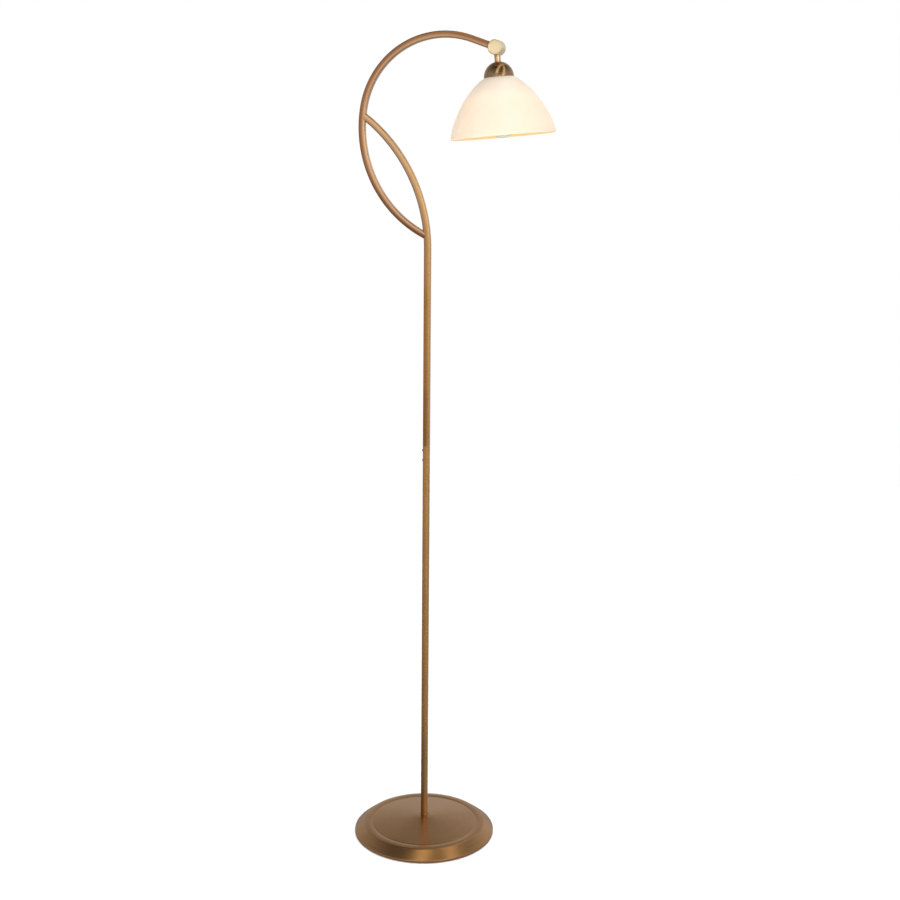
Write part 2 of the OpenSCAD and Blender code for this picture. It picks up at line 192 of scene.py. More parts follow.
def curve_normal(p, t):
    """Unit vector square to the curve, on its left."""
    a, b, c, d = (Vector(q) for q in p)
    v = (1 - t) ** 2 * (b - a) + 2 * (1 - t) * t * (c - b) + t**2 * (d - c)
    return Vector((-v.y, v.x)).normalized()


def tube_outline(width, corner, arc_steps=6, face_steps=8):
    """Points (u, v, edge) round a square tube whose faces are faintly crowned;
    edge is 1 in the middle of a corner."""
    half = width / 2 - TUBE_CROWN
    inner = half - corner
    out = []
    for quarter in range(4):
        turn = Matrix.Rotation(quarter * math.pi / 2, 2)
        side = []
        for j in range(arc_steps + 1):
            a = j / arc_steps * math.pi / 2
            edge = 0.35 + 0.65 * math.sin(2 * a)
            side.append((inner + corner * math.cos(a), inner + corner * math.sin(a), edge))
        for j in range(1, face_steps):
            across = 1 - 2 * j / face_steps
            edge = 0.35 * max(0.0, 4 * abs(across) - 3)
            side.append((inner * across, half + TUBE_CROWN * (1 - across**2), edge))
        for u, v, edge in side:
            p = turn @ Vector((u, v))
            out.append((p.x, p.y, edge))
    return out


# ------------------------------------------------------------------ meshes


def turned(outline, steps=128, shape=None):
    """Vertices and faces of a closed outline of (radius, height) turned about Z, in mm."""
    verts, faces, rows = [], [], []
    for r, z in outline:
        if r < TINY:
            rows.append([len(verts)] * steps)
            verts.append((0, 0, z))
            continue
        rows.append(list(range(len(verts), len(verts) + steps)))
        for k in range(steps):
            a = 2 * math.pi * k / steps
            radius = shape(r, z, a) if shape else r
            verts.append((radius * math.cos(a), radius * math.sin(a), z))
    for row, after in zip(rows, rows[1:] + rows[:1]):
        for k in range(steps):
            j = (k + 1) % steps
            face = list(dict.fromkeys([row[k], row[j], after[j], after[k]]))
            if len(face) > 2:
                faces.append(face)
    return verts, faces


def swept(outline, stations):
    """A capped tube along stations of (point, tangent, run, size) in the XZ plane, in mm.
    Gives the vertices, the faces and each vertex's (along, around, edge, across)."""
    verts, faces, marks = [], [], []
    across = Vector((0, 1, 0))
    count = len(outline)
    for point, tangent, run, size in stations:
        sideways = across.cross(tangent)
        around = 0.0
        last = outline[0]
        for u, v, edge in outline:
            around += math.hypot(u - last[0], v - last[1])
            last = (u, v)
            verts.append(point + size * (u * sideways + v * across))
            marks.append((run, around, edge, 2 * u / TUBE_W))
    for s in range(len(stations) - 1):
        for k in range(count):
            j = (k + 1) % count
            faces.append([s * count + k, s * count + j, (s + 1) * count + j, (s + 1) * count + k])
    faces.append(list(range(count))[::-1])
    faces.append([(len(stations) - 1) * count + k for k in range(count)])
    return verts, faces, marks


def arc_stations(centre, radius, start, end, run, step=1.5):
    """Stations along an arc in the XZ plane, angles in degrees from +X towards +Z."""
    count = max(2, math.ceil(abs(end - start) / step))
    way = 1 if end > start else -1
    out = []
    for k in range(count + 1):
        a = math.radians(start + (end - start) * k / count)
        point = Vector((centre[0] + radius * math.cos(a), 0, centre[1] + radius * math.sin(a)))
        tangent = Vector((-math.sin(a), 0, math.cos(a))) * way
        out.append((point, tangent, run + radius * math.radians(abs(end - start)) * k / count, 1.0))
    return out


def line_stations(start, end, run, step=12.0):
    start, end = Vector(start), Vector(end)
    length = (end - start).length
    tangent = (end - start) / length
    count = max(1, math.ceil(length / step))
    return [(start + tangent * length * k / count, tangent, run + length * k / count, 1.0)
            for k in range(count + 1)]


def eased_ends(stations, start=0.0, end=0.0):
    """Adds a narrower station at either end, so that the tube's end is eased."""
    out = list(stations)
    if start:
        point, tangent, run, _ = out[0]
        out[0] = (point + tangent * start, tangent, run, 1.0)
        out.insert(0, (point, tangent, run, (TUBE_W - 2 * start) / TUBE_W))
    if end:
        point, tangent, run, _ = out[-1]
        out[-1] = (point - tangent * end, tangent, run, 1.0)
        out.append((point, tangent, run, (TUBE_W - 2 * end) / TUBE_W))
    return out


def frange(start, end, step):
    """Numbers from start to end, about a step apart."""
    count = max(1, round((end - start) / step))
    return [start + (end - start) * k / count for k in range(count + 1)]


def tube_parts(stations, width=TUBE_W, corner=TUBE_CORNER):
    """What mesh_object takes for a square tube along stations."""
    verts, faces, marks = swept(tube_outline(width, corner), stations)
    return verts, faces, None, marks


def mesh_object(name, verts, faces, place=None, marks=None):
    """A mesh given in mm, set in metres; place is its own frame in the row frame."""
    mesh = bpy.data.meshes.new(name)
    mesh.from_pydata([Vector(v) * MM for v in verts], [], faces)
    if marks:
        for slot_index, key in enumerate(("along", "around", "edge", "across")):
            layer = mesh.attributes.new(key, "FLOAT", "POINT")
            layer.data.foreach_set("value", [m[slot_index] for m in marks])
    edit = bmesh.new()
    edit.from_mesh(mesh)
    bmesh.ops.recalc_face_normals(edit, faces=edit.faces)
    edit.to_mesh(mesh)
    edit.free()
    obj = bpy.data.objects.new(name, mesh)
    bpy.context.scene.collection.objects.link(obj)
    if place is not None:
        obj.matrix_world = place
    return obj


def apply_modifiers(obj):
    """Replaces an object's mesh by what its modifiers make of it."""
    bpy.context.view_layer.update()
    graph = bpy.context.evaluated_depsgraph_get()
    made = bpy.data.meshes.new_from_object(obj.evaluated_get(graph), depsgraph=graph)
    obj.modifiers.clear()
    obj.data = made


def cut(obj, *cutters):
    """Cuts solids out of obj and removes them."""
    for cutter in cutters:
        modifier = obj.modifiers.new("cut", "BOOLEAN")
        modifier.operation = "DIFFERENCE"
        modifier.solver = "EXACT"
        modifier.object = cutter
    apply_modifiers(obj)
    for cutter in cutters:
        bpy.data.objects.remove(cutter)


def smooth(obj, angle=32.0):
    """Smooth shading that keeps edges sharper than the angle."""
    edit = bmesh.new()
    edit.from_mesh(obj.data)
    limit = math.radians(angle)
    for face in edit.faces:
        face.smooth = True
    for edge in edit.edges:
        edge.smooth = len(edge.link_faces) == 2 and edge.calc_face_angle(0) < limit
    edit.to_mesh(obj.data)
    edit.free()


def piece(obj, body, slot, material, *nodes, angle=32.0):
    """Finishes a new piece: shading, material and body, and hides the nodes it stands for; slot is not used.
    """
    smooth(obj, angle)
    obj.data.materials.clear()
    obj.data.materials.append(material)
    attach(obj, body)
    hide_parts(*nodes)


# ---------------------------------------------------------------- materials


class Nodes:
    """A node tree, with short ways to add to it."""

    def __init__(self, tree):
        self.nodes = tree.nodes
        self.links = tree.links

    def add(self, kind, inputs=(), **settings):
        """Adds a node; inputs is a dict or list of values or of sockets to link from."""
        node = self.nodes.new(kind)
        for key, value in settings.items():
            setattr(node, key, value)
        pairs = inputs.items() if isinstance(inputs, dict) else enumerate(inputs)
        for key, value in pairs:
            if isinstance(value, bpy.types.NodeSocket):
                self.links.new(value, node.inputs[key])
            elif value is not None:
                node.inputs[key].default_value = value
        return node

    def math(self, operation, a, b=None):
        return self.add("ShaderNodeMath", [a, b], operation=operation).outputs[0]

    def split(self, vector):
        return self.add("ShaderNodeSeparateXYZ", [vector]).outputs

    def spread(self, value, low, high, to_low=0.0, to_high=1.0):
        """Maps low..high to to_low..to_high, clamped."""
        return self.add("ShaderNodeMapRange", [value, low, high, to_low, to_high]).outputs[0]


class Paint(Nodes):
    """A material's node tree, with one Principled shader as its surface."""

    def __init__(self, name, **sockets):
        self.material = bpy.data.materials.new(name)
        self.material.use_nodes = True
        super().__init__(self.material.node_tree)
        self.shader = self.nodes["Principled BSDF"]
        for key, value in sockets.items():
            self.shader.inputs[key.replace("_", " ")].default_value = value

    def attribute(self, name):
        return self.add("ShaderNodeAttribute", attribute_name=name).outputs["Fac"]

    def place(self):
        return self.add("ShaderNodeTexCoord").outputs["Object"]

    def vector(self, x=0.0, y=0.0, z=0.0):
        return self.add("ShaderNodeCombineXYZ", [x, y, z]).outputs[0]

    def noise(self, vector, scale, detail=3.0, roughness=0.55):
        values = {"Vector": vector, "Scale": scale, "Detail": detail, "Roughness": roughness}
        return self.add("ShaderNodeTexNoise", values).outputs["Fac"]

    def mix(self, factor, a, b, blend="MIX"):
        node = self.add("ShaderNodeMix", data_type="RGBA", blend_type=blend)
        for index, value in ((0, factor), (6, a), (7, b)):
            if isinstance(value, bpy.types.NodeSocket):
                self.links.new(value, node.inputs[index])
            else:
                node.inputs[index].default_value = value
        return node.outputs[2]

    def link(self, value, socket):
        self.links.new(value, self.shader.inputs[socket])

    def bump(self, height, distance, strength=1.0):
        inputs = {"Strength": strength, "Distance": distance, "Height": height}
        self.link(self.add("ShaderNodeBump", inputs).outputs[0], "Normal")


def grain_vector(paint, pattern):
    """Coordinates in which noise becomes fine lines: along a tube, or round a turned part."""
    if pattern == "tube":
        along = paint.math("MULTIPLY", paint.attribute("along"), 0.03)
        around = paint.math("MULTIPLY", paint.attribute("around"), 2.6)
        return paint.vector(around, along)
    x, y, z = paint.split(paint.place())
    flat = paint.vector(x, y)
    radius = paint.add("ShaderNodeVectorMath", [flat], operation="LENGTH").outputs["Value"]
    turn = paint.math("ARCTAN2", y, x)
    return paint.vector(
        paint.math("MULTIPLY", radius, 1900.0),
        paint.math("MULTIPLY", turn, 1.2),
        paint.math("MULTIPLY", z, 1900.0),
    )


def brushed_metal(name, dark, light, wear_and_highlight_colour, pattern, roughness, foot_painted_shade=None, crest_painted_highlight=None,
                  grain_depth=0.000001, wear_and_highlight_level=0.5, lacquer=0.6):
    """Brushed, patinated metal under thin lacquer. A tube gets a painted highlight: one side
    is painted paler. A turned part gets paler streaks of wear along its grain.
    foot and crest give (low, high, shade): painted shade that deepens from one height down to
    another, and a painted highlight that turns paler going up."""
    paint = Paint(name, Metallic=1.0, Coat_Weight=lacquer, Coat_Roughness=0.3)
    place = paint.place()
    grain = paint.noise(grain_vector(paint, pattern), 1.0, 3.0, 0.5)
    cloud = paint.noise(place, 9.0, 3.0, 0.5)
    fleck = paint.noise(place, 240.0, 2.0, 0.5)
    tone = paint.math("ADD", paint.math("MULTIPLY", grain, 0.25), paint.math("MULTIPLY", cloud, 0.75))
    colour = paint.mix(paint.spread(tone, 0.34, 0.66), dark, light)
    up = paint.split(place)[2] if foot_painted_shade or crest_painted_highlight else None
    # Painted shade: the colour darkens from one height down to a lower one.
    if foot_painted_shade:
        low, high, shade = foot_painted_shade
        colour = paint.mix(paint.spread(up, high, low), colour, shade, "MULTIPLY")
    # Painted highlight: the colour turns paler going up.
    if crest_painted_highlight:
        low, high, shade = crest_painted_highlight
        colour = paint.mix(paint.spread(up, low, high, 0.0, 0.75), colour, shade)
    colour = paint.mix(paint.spread(fleck, 0.64, 0.8, 0.0, 0.18), colour, dark)
    if pattern == "tube":
        # Painted highlight: one side of the tube, by its across mark, is painted paler.
        painted_highlight_mask = paint.math("MULTIPLY", paint.spread(paint.attribute("across"), -0.15, 0.75, 0.0, wear_and_highlight_level),
                         paint.spread(cloud, 0.3, 0.6, 0.8, 1.0))
        colour = paint.mix(painted_highlight_mask, colour, wear_and_highlight_colour)
        edge = paint.math("MULTIPLY", paint.attribute("edge"), 0.3)
        colour = paint.mix(edge, colour, dark)
    else:
        colour = paint.mix(paint.spread(grain, 0.6, 0.8, 0.0, wear_and_highlight_level), colour, wear_and_highlight_colour)
    paint.link(colour, "Base Color")
    rough = paint.math("ADD", paint.spread(grain, 0.3, 0.7, roughness - 0.03, roughness + 0.04),
                       paint.spread(fleck, 0.5, 0.8, 0.0, 0.05))
    paint.link(rough, "Roughness")
    paint.bump(grain, grain_depth)
    return paint.material


def cast_metal(name, dark, light, roughness, scale, depth, metallic=0.8):
    """Rough cast or plated metal, with pores and blotches."""
    paint = Paint(name, Metallic=metallic)
    place = paint.place()
    pores = paint.noise(place, scale, 5.0, 0.65)
    blotch = paint.noise(place, scale / 12, 3.0)
    colour = paint.mix(paint.spread(blotch, 0.35, 0.65), dark, light)
    colour = paint.mix(paint.spread(pores, 0.6, 0.75, 0.0, 0.5), colour, dark)
    paint.link(colour, "Base Color")
    paint.link(paint.spread(pores, 0.3, 0.7, roughness - 0.1, roughness + 0.12), "Roughness")
    paint.bump(pores, depth)
    return paint.material


def felt():
    paint = Paint("felt_grey", Sheen_Weight=0.5, Specular_IOR_Level=0.1)
    place = paint.place()
    fibres = paint.noise(place, 900.0, 6.0, 0.8)
    mottle = paint.noise(place, 60.0, 4.0)
    colour = paint.mix(fibres, srgb(30, 27, 25), srgb(88, 82, 76))
    paint.link(paint.mix(paint.spread(mottle, 0.35, 0.65, 0.0, 0.5), colour, srgb(52, 47, 43)), "Base Color")
    paint.link(paint.spread(fibres, 0.3, 0.7, 0.86, 1.0), "Roughness")
    paint.bump(fibres, 0.0006)
    return paint.material


def moulded(name, dark, light, roughness, scale=420.0, depth=0.00004):
    """Moulded plastic, rubber or glazed ceramic with a fine texture."""
    paint = Paint(name, Specular_IOR_Level=0.45)
    place = paint.place()
    skin = paint.noise(place, scale, 4.0, 0.6)
    cloud = paint.noise(place, 35.0, 3.0)
    paint.link(paint.mix(paint.spread(cloud, 0.35, 0.65), dark, light), "Base Color")
    paint.link(paint.spread(skin, 0.3, 0.7, roughness - 0.07, roughness + 0.08), "Roughness")
    paint.bump(skin, depth)
    return paint.material


def cable_skin():
    """A cable's smooth sheath, with faint rings from its making."""
    paint = Paint("cable_sheath", Specular_IOR_Level=0.4)
    place = paint.place()
    skin = paint.noise(place, 700.0, 3.0)
    dust = paint.noise(place, 40.0, 4.0)
    colour = paint.mix(paint.spread(dust, 0.4, 0.7), srgb(214, 210, 200), srgb(186, 181, 170))
    paint.link(colour, "Base Color")
    paint.link(paint.spread(skin, 0.3, 0.7, 0.42, 0.58), "Roughness")
    paint.bump(skin, 0.00003)
    return paint.material


def opal_glass():
    """Cased opal glass with a painted glow standing in for the bulb's light. The glow is painted dimmer under
    the cup, and the inside is painted yellow, as warm light from within.
    """
    paint = Paint("opal_glass_cased", Coat_Weight=0.1, Coat_Roughness=0.2, Subsurface_Weight=0.25,
                  Subsurface_Scale=0.01, IOR=1.5)
    place = paint.place()
    swirl = paint.spread(paint.noise(place, 14.0, 5.0, 0.6), 0.3, 0.7)
    seed = paint.noise(place, 300.0, 3.0)
    inside = paint.attribute("inside")
    outer = paint.mix(swirl, srgb(203, 199, 190), srgb(196, 191, 181))
    # The inside is painted yellow, as warm light from within.
    paint.link(paint.mix(inside, outer, srgb(196, 180, 140)), "Base Color")
    # Painted glow standing in for the bulb's light, painted yellower on the inside.
    glow = paint.mix(swirl, srgb(255, 223, 180), srgb(255, 218, 172))
    paint.link(paint.mix(inside, glow, srgb(255, 214, 140)), "Emission Color")
    height = paint.split(place)[2]
    top, shoulder = -SHADE_TOP_D * MM, -(SHADE_TOP_D + 34) * MM
    # Painted shade: the glow is dimmer up under the cup and brighter down the shoulder.
    paint.link(paint.spread(height, top, shoulder, 0.2, 0.42), "Emission Strength")
    paint.link(paint.spread(swirl, 0.0, 1.0, 0.34, 0.44), "Roughness")
    paint.bump(seed, 0.00002)
    return paint.material


def frosted_glass():
    """The bulb's inside-frosted glass."""
    paint = Paint("bulb_frosted", Coat_Weight=0.6, Coat_Roughness=0.04, Subsurface_Weight=0.2,
                  Subsurface_Scale=0.005)
    place = paint.place()
    frost = paint.noise(place, 800.0, 4.0, 0.7)
    cloud = paint.noise(place, 30.0, 3.0)
    colour = paint.mix(paint.spread(cloud, 0.3, 0.7), srgb(206, 203, 196), srgb(224, 220, 212))
    paint.link(colour, "Base Color")
    paint.link(paint.spread(frost, 0.3, 0.7, 0.35, 0.5), "Roughness")
    paint.bump(frost, 0.00002)
    return paint.material


# On the tubes the pale wear colour is a painted highlight along one side. Their foot is painted shade, darker
# towards the bottom, and their crest a painted highlight, paler towards the top.
BRONZE_DARK = srgb(172, 116, 64)
BRONZE_LIGHT = srgb(204, 148, 86)
BRONZE_PAINTED_HIGHLIGHT = srgb(246, 196, 122)
LOWER_BRONZE = brushed_metal("bronze_lower_tube", BRONZE_DARK, BRONZE_LIGHT, BRONZE_PAINTED_HIGHLIGHT, "tube", 0.24,
                             foot_painted_shade=(0.03, 0.3, (0.4, 0.5, 0.66, 1.0)),
                             crest_painted_highlight=(0.45, 0.76, srgb(228, 172, 104)), wear_and_highlight_level=0.6, lacquer=0.35)
UPPER_BRONZE = brushed_metal("bronze_upper_tube", BRONZE_DARK, BRONZE_LIGHT, BRONZE_PAINTED_HIGHLIGHT, "tube", 0.24,
                             foot_painted_shade=(0.767, 0.9, (0.8, 0.8, 0.76, 1.0)),
                             crest_painted_highlight=(1.04, 1.28, srgb(206, 172, 138)), wear_and_highlight_level=0.6, lacquer=0.35)
ARM_BRONZE = brushed_metal("bronze_arm", srgb(146, 98, 60), srgb(168, 118, 76), srgb(238, 194, 154),
                           "tube", 0.24, wear_and_highlight_level=0.9, lacquer=0.4)
BASE_BRONZE = brushed_metal("bronze_base", srgb(176, 132, 88), srgb(194, 150, 104), srgb(200, 158, 112),
                            "turned", 0.3, grain_depth=0.0000004, wear_and_highlight_level=0.1, lacquer=0.3)
CUP_BRONZE = brushed_metal("bronze_dark_turned", srgb(152, 122, 90), srgb(168, 138, 104), BRONZE_PAINTED_HIGHLIGHT,
                           "turned", 0.2, grain_depth=0.0000001, wear_and_highlight_level=0.0, lacquer=0.2)
STEM_BRASS = brushed_metal("brass_stem", srgb(210, 170, 132), srgb(226, 190, 152),
                           srgb(248, 220, 186), "turned", 0.2, grain_depth=0.000001, wear_and_highlight_level=0.2)
PALE_BRASS = brushed_metal("brass_pale_turned", srgb(250, 226, 180), srgb(255, 234, 192),
                           srgb(255, 240, 210), "turned", 0.3, grain_depth=0.000002, wear_and_highlight_level=0.3)
CAD_BRONZE = cast_metal("bronze_plain", srgb(120, 84, 48), srgb(160, 118, 72), 0.36, 300.0, 0.00004, 1.0)
SCREW_BROWN = cast_metal("steel_browned", srgb(62, 46, 34), srgb(92, 70, 52), 0.42, 420.0, 0.00003, 1.0)
ZINC = cast_metal("zinc_plated", srgb(150, 152, 156), srgb(196, 198, 200), 0.36, 420.0, 0.00003, 1.0)
IRON = cast_metal("iron_cast", srgb(48, 48, 51), srgb(84, 83, 84), 0.66, 240.0, 0.0003, 0.6)
CONTACT_BRASS = cast_metal("brass_contact", srgb(186, 146, 72), srgb(220, 184, 104), 0.3, 380.0, 0.00003, 1.0)
NICKEL = cast_metal("nickel_bulb_base", srgb(168, 166, 160), srgb(206, 204, 198), 0.3, 380.0, 0.00003, 1.0)
FELT = felt()
RUBBER = moulded("rubber_black", srgb(24, 23, 22), srgb(40, 38, 36), 0.55, 600.0, 0.00005)
FIBRE = moulded("fibre_red_brown", srgb(116, 50, 34), srgb(146, 70, 48), 0.7, 700.0, 0.0001)
PLASTIC = moulded("holder_thermoplastic", srgb(226, 220, 206), srgb(236, 231, 219), 0.4)
CERAMIC = moulded("holder_ceramic_white", srgb(236, 232, 222), srgb(244, 241, 234), 0.22)
CABLE = cable_skin()
OPAL = opal_glass()
FROSTED = frosted_glass()


# ---------------------------------------------------------------- the stand


# The inlet's own frame, whose Z runs out through the back of the base
INLET = (Matrix.Rotation(math.radians(INLET_TURN), 4, "Z") @ Matrix.Translation((0, 0, CABLE_Z * MM))
         @ Matrix.Rotation(-math.pi / 2, 4, "X"))


def rod(name, radius, start, end, place, steps=64):
    """A plain round solid used only to cut with."""
    verts, faces = turned([(0, start), (radius, start), (radius, end), (0, end)], steps)
    return mesh_object(name, verts, faces, place)


def make_base_cover():
    """The spun sheet cover: lip, flank, raised ring, groove and a slightly coned middle."""
    t = COVER_T
    outer = [
        (BASE_R, COVER_GAP, 0.5), (BASE_R, LIP_H, 1.6), (RING_R + 1.2, RING_Z - 0.8, 2.2),
        (RING_R - 0.9, RING_Z, 2.4), ((RING_R + GROOVE_R) / 2, RING_Z + 0.7, 6.0),
        (GROOVE_R + 1.5, RING_Z + 0.4, 0.8), (GROOVE_R, RING_Z - 0.1, 0.5),
        (GROOVE_R - 2, RING_Z + 0.5, 1.2), (SEAT_R + 1, BASE_H - 0.12, 3.0), (SEAT_R, BASE_H, 0.5),
        (HOLE_R, BASE_H, 0.3), (HOLE_R, BASE_H - t, 0.0),
    ]
    inner = [
        (SEAT_R, BASE_H - t, 1.0), (GROOVE_R - 2, RING_Z + 0.5 - t, 0.8),
        (RING_R - 0.9, RING_Z - t, 1.0), (RING_R + 1.2 - t / 2, RING_Z - 0.8 - t, 1.0),
        (BASE_R - t, LIP_H - t / 2, 0.6), (BASE_R - t, COVER_GAP, 0.4),
    ]
    verts, faces = turned(softened(outer + inner), 240)
    cover = mesh_object("base_cover_spun", verts, faces)
    cut(cover, rod("inlet_cutter", GROMMET_R, 108, BASE_R + 6, INLET))
    piece(cover, STAND, "antique_bronze", BASE_BRONZE, "base_cover")


def make_grommet():
    """The ribbed rubber sleeve in the back of the base, where the mains cord enters."""
    outer = [(GROMMET_BORE_R, GROMMET_Y0, 0.3), (GROMMET_COLLAR_R, GROMMET_Y0, 0.3),
             (GROMMET_COLLAR_R, GROMMET_Y0 + 1, 0.2), (GROMMET_R, GROMMET_Y0 + 1, 0.1),
             (GROMMET_R, BASE_R - COVER_T, 0.1)]
    ribs = []
    start = BASE_R - COVER_T
    pitch = (GROMMET_Y1 - start - 0.4) / 2
    for k in range(2):
        y = start + k * pitch
        ribs += [(GROMMET_R, y + 0.35 * pitch, 0.2), (GROMMET_R - 0.5, y + 0.5 * pitch, 0.15),
                 (GROMMET_R - 0.5, y + 0.8 * pitch, 0.15), (GROMMET_R, y + 0.95 * pitch, 0.2)]
    end = [(GROMMET_R, GROMMET_Y1, 0.5), (GROMMET_BORE_R, GROMMET_Y1, 0.4)]
    verts, faces = turned(softened(outer + ribs + end, 3), 64)
    grommet = mesh_object("cord_inlet_grommet", verts, faces, INLET)
    piece(grommet, STAND, "black_rubber", RUBBER, "cord_grommet")


def make_lower_pole():
    stations = eased_ends(line_stations((0, 0, BASE_H), (0, 0, SEAM_Z), 0), 0.25, 0.3)
    pole = mesh_object("pole_lower_tube", *tube_parts(stations))
    piece(pole, STAND, "antique_bronze", LOWER_BRONZE, "lower_pole")


def lower_centre():
    a = math.radians(BEND_MEET)
    step = UPPER_R - LOWER_R
    return (UPPER_C[0] + step * math.cos(a), UPPER_C[1] + step * math.sin(a))


def arm_end():
    """The knuckle's axis and the direction of the arm's straight end."""
    a = math.radians(BEND_END)
    way = Vector((math.sin(a), 0, -math.cos(a)))
    tip = Vector((UPPER_C[0] + UPPER_R * math.cos(a), 0, UPPER_C[1] + UPPER_R * math.sin(a)))
    return tip + way * STUB_L, way


def cutting_tube(name, stations):
    """A tube a hair larger than the real one, so that flush faces cut cleanly."""
    grow = 0.02
    return mesh_object(name, *tube_parts(stations, TUBE_W + grow, TUBE_CORNER))


def make_upper_pole():
    """The upright above the seam, and the branch it turns into."""
    straight = line_stations((0, 0, SEAM_Z), (0, 0, BRANCH_Z), SEAM_Z)
    branch = arc_stations((-BRANCH_R, BRANCH_Z), BRANCH_R, 0, BRANCH_END, BRANCH_Z)
    stations = eased_ends(straight + branch[1:], 0.3)
    pole = mesh_object("pole_upper_tube", *tube_parts(stations))
    arm = arc_stations(lower_centre(), LOWER_R, BEND_MEET - 8, BEND_MEET + 35, 0, 1.0)
    cut(pole, cutting_tube("branch_cutter", arm))
    piece(pole, STAND, "antique_bronze", UPPER_BRONZE, "upper_pole")


def make_arm():
    """The arm, from its weld on the upright over the top to the knuckle."""
    lower = arc_stations(lower_centre(), LOWER_R, ARM_FOOT, BEND_MEET, BRANCH_Z)
    run = lower[-1][2]
    upper = arc_stations(UPPER_C, UPPER_R, BEND_MEET, BEND_END, run)
    pivot, way = arm_end()
    stub = line_stations(upper[-1][0], pivot - way * TUBE_END, upper[-1][2])
    stations = eased_ends(lower + upper[1:] + stub[1:], 0.0, 0.3)
    arm = mesh_object("arm_bent_tube", *tube_parts(stations))
    below = line_stations((0, 0, BRANCH_Z - 20), (0, 0, BRANCH_Z), 0, 5.0)
    above = arc_stations((-BRANCH_R, BRANCH_Z), BRANCH_R, 0, 16, 0, 0.5)
    cut(arm, cutting_tube("arm_foot_cutter", below + above[1:]))
    piece(arm, STAND, "antique_bronze", ARM_BRONZE, "arm")


def make_screw(name, height):
    """A dome head with a cross recess, on the pole's -X face."""
    arc = [(SCREW_HEAD_R * math.cos(a), SCREW_HEAD_H * math.sin(a))
           for a in (math.radians(d) for d in range(8, 89, 8))]
    outline = [(0, -1.0), (1.5, -1.0), (1.5, -0.02), (SCREW_HEAD_R - 0.15, -0.02), (SCREW_HEAD_R, 0.12)]
    verts, faces = turned(outline + arc + [(0, SCREW_HEAD_H)], 48)
    place = (Matrix.Translation((-TUBE_W / 2 * MM, 0, height * MM))
             @ Matrix.Rotation(-math.pi / 2, 4, "Y"))
    screw = mesh_object(name, verts, faces, place)
    bars = []
    for k, (wide, deep) in enumerate(((0.34, 1.45), (1.45, 0.34))):
        corners = [(x, y, z) for z in (SCREW_HEAD_H - 0.9, SCREW_HEAD_H + 1)
                   for x, y in ((-wide, -deep), (wide, -deep), (wide, deep), (-wide, deep))]
        sides = [[0, 1, 5, 4], [1, 2, 6, 5], [2, 3, 7, 6], [3, 0, 4, 7], [3, 2, 1, 0], [4, 5, 6, 7]]
        bars.append(mesh_object(f"recess_{k}", corners, sides, place))
    cut(screw, *bars)
    piece(screw, STAND, "dark_bronze", SCREW_BROWN, "joint_screws")


# ----------------------------------------------------------------- the head


def head_frame():
    """The head's own frame: origin on the knuckle's axis, -Z down the head."""
    pivot, _ = arm_end()
    return Matrix.Translation(pivot * MM) @ Matrix.Rotation(math.radians(-HEAD_TILT), 4, "Y")


HEAD_FRAME = head_frame()


def hung(outline):
    """An outline given as (radius, depth), as (radius, height)."""
    return [(r, -d) for r, d in outline]


def make_barrel():
    """The knuckle's drum, open between its cheeks on the side of the arm."""
    half = KNUCKLE_HALF - CAP_T
    outline = softened([(0, -half, 0), (KNUCKLE_R, -half, 0.5), (KNUCKLE_R, half, 0.5), (0, half, 0)])
    place = HEAD_FRAME @ Matrix.Rotation(-math.pi / 2, 4, "X")
    barrel = mesh_object("knuckle_drum", *turned(outline, 128), place)
    eye = rod("eye_cutter", SLOT_R, -SLOT_HALF, SLOT_HALF, place, 96)
    wide = 2 * KNUCKLE_R
    fan = [(0.0, 0.0)]
    for k in range(9):
        a = math.radians(SLOT_FROM + (SLOT_TO - SLOT_FROM) * k / 8)
        fan.append((wide * math.cos(a), wide * math.sin(a)))
    verts = [(x, y, z) for y in (-SLOT_HALF, SLOT_HALF) for x, z in fan]
    count = len(fan)
    faces = [[k, (k + 1) % count, count + (k + 1) % count, count + k] for k in range(count)]
    faces += [list(range(count))[::-1], [count + k for k in range(count)]]
    cut(barrel, eye, mesh_object("slot_cutter", verts, faces, HEAD_FRAME))
    piece(barrel, HEAD, "pale_brass", PALE_BRASS, "knuckle_barrel")


def make_cap(name, node, side):
    """A chamfered end cap with a faintly dished face."""
    face = KNUCKLE_HALF
    back = KNUCKLE_HALF - CAP_T
    outline = softened([
        (0, back - 0.8, 0), (3.8, back - 0.8, 0.1), (3.8, back, 0.1), (KNUCKLE_R - 0.5, back, 0.2),
        (KNUCKLE_R, back + 0.4, 0.3), (KNUCKLE_R, face - 1.1, 0.5), (KNUCKLE_R - 1.1, face, 0.6),
        (KNUCKLE_R - 2.2, face, 0.4), (KNUCKLE_R - 2.6, face - 0.25, 0.3), (0, face - 0.3, 0)])
    turn = Matrix.Rotation(math.pi / 2 if side < 0 else -math.pi / 2, 4, "X")
    cap = mesh_object(name, *turned(outline, 128), HEAD_FRAME @ turn)
    piece(cap, HEAD, "pale_brass", PALE_BRASS, node)


def make_sleeve():
    """The short stem between the drum and the cup, with a bead at each end."""
    top = KNUCKLE_R - 1.3
    end = CUP_D - math.sqrt(CUP_R**2 - SLEEVE_R**2) + 0.02
    waist = SLEEVE_R - 0.25
    outline = softened([
        (NIPPLE_HOLE_R, -top, 0), (SLEEVE_R, -top, 0.2), (SLEEVE_R, -(top + 2.4), 0.4),
        (waist, -(top + 2.9), 0.4), (waist, -(end - 2.2), 0.4), (SLEEVE_R, -(end - 1.7), 0.4),
        (SLEEVE_R, -end, 0.2), (NIPPLE_HOLE_R, -end, 0)])
    sleeve = mesh_object("stem_beaded_sleeve", *turned(outline, 96), HEAD_FRAME)
    piece(sleeve, HEAD, "pale_brass", STEM_BRASS, "stem_sleeve")


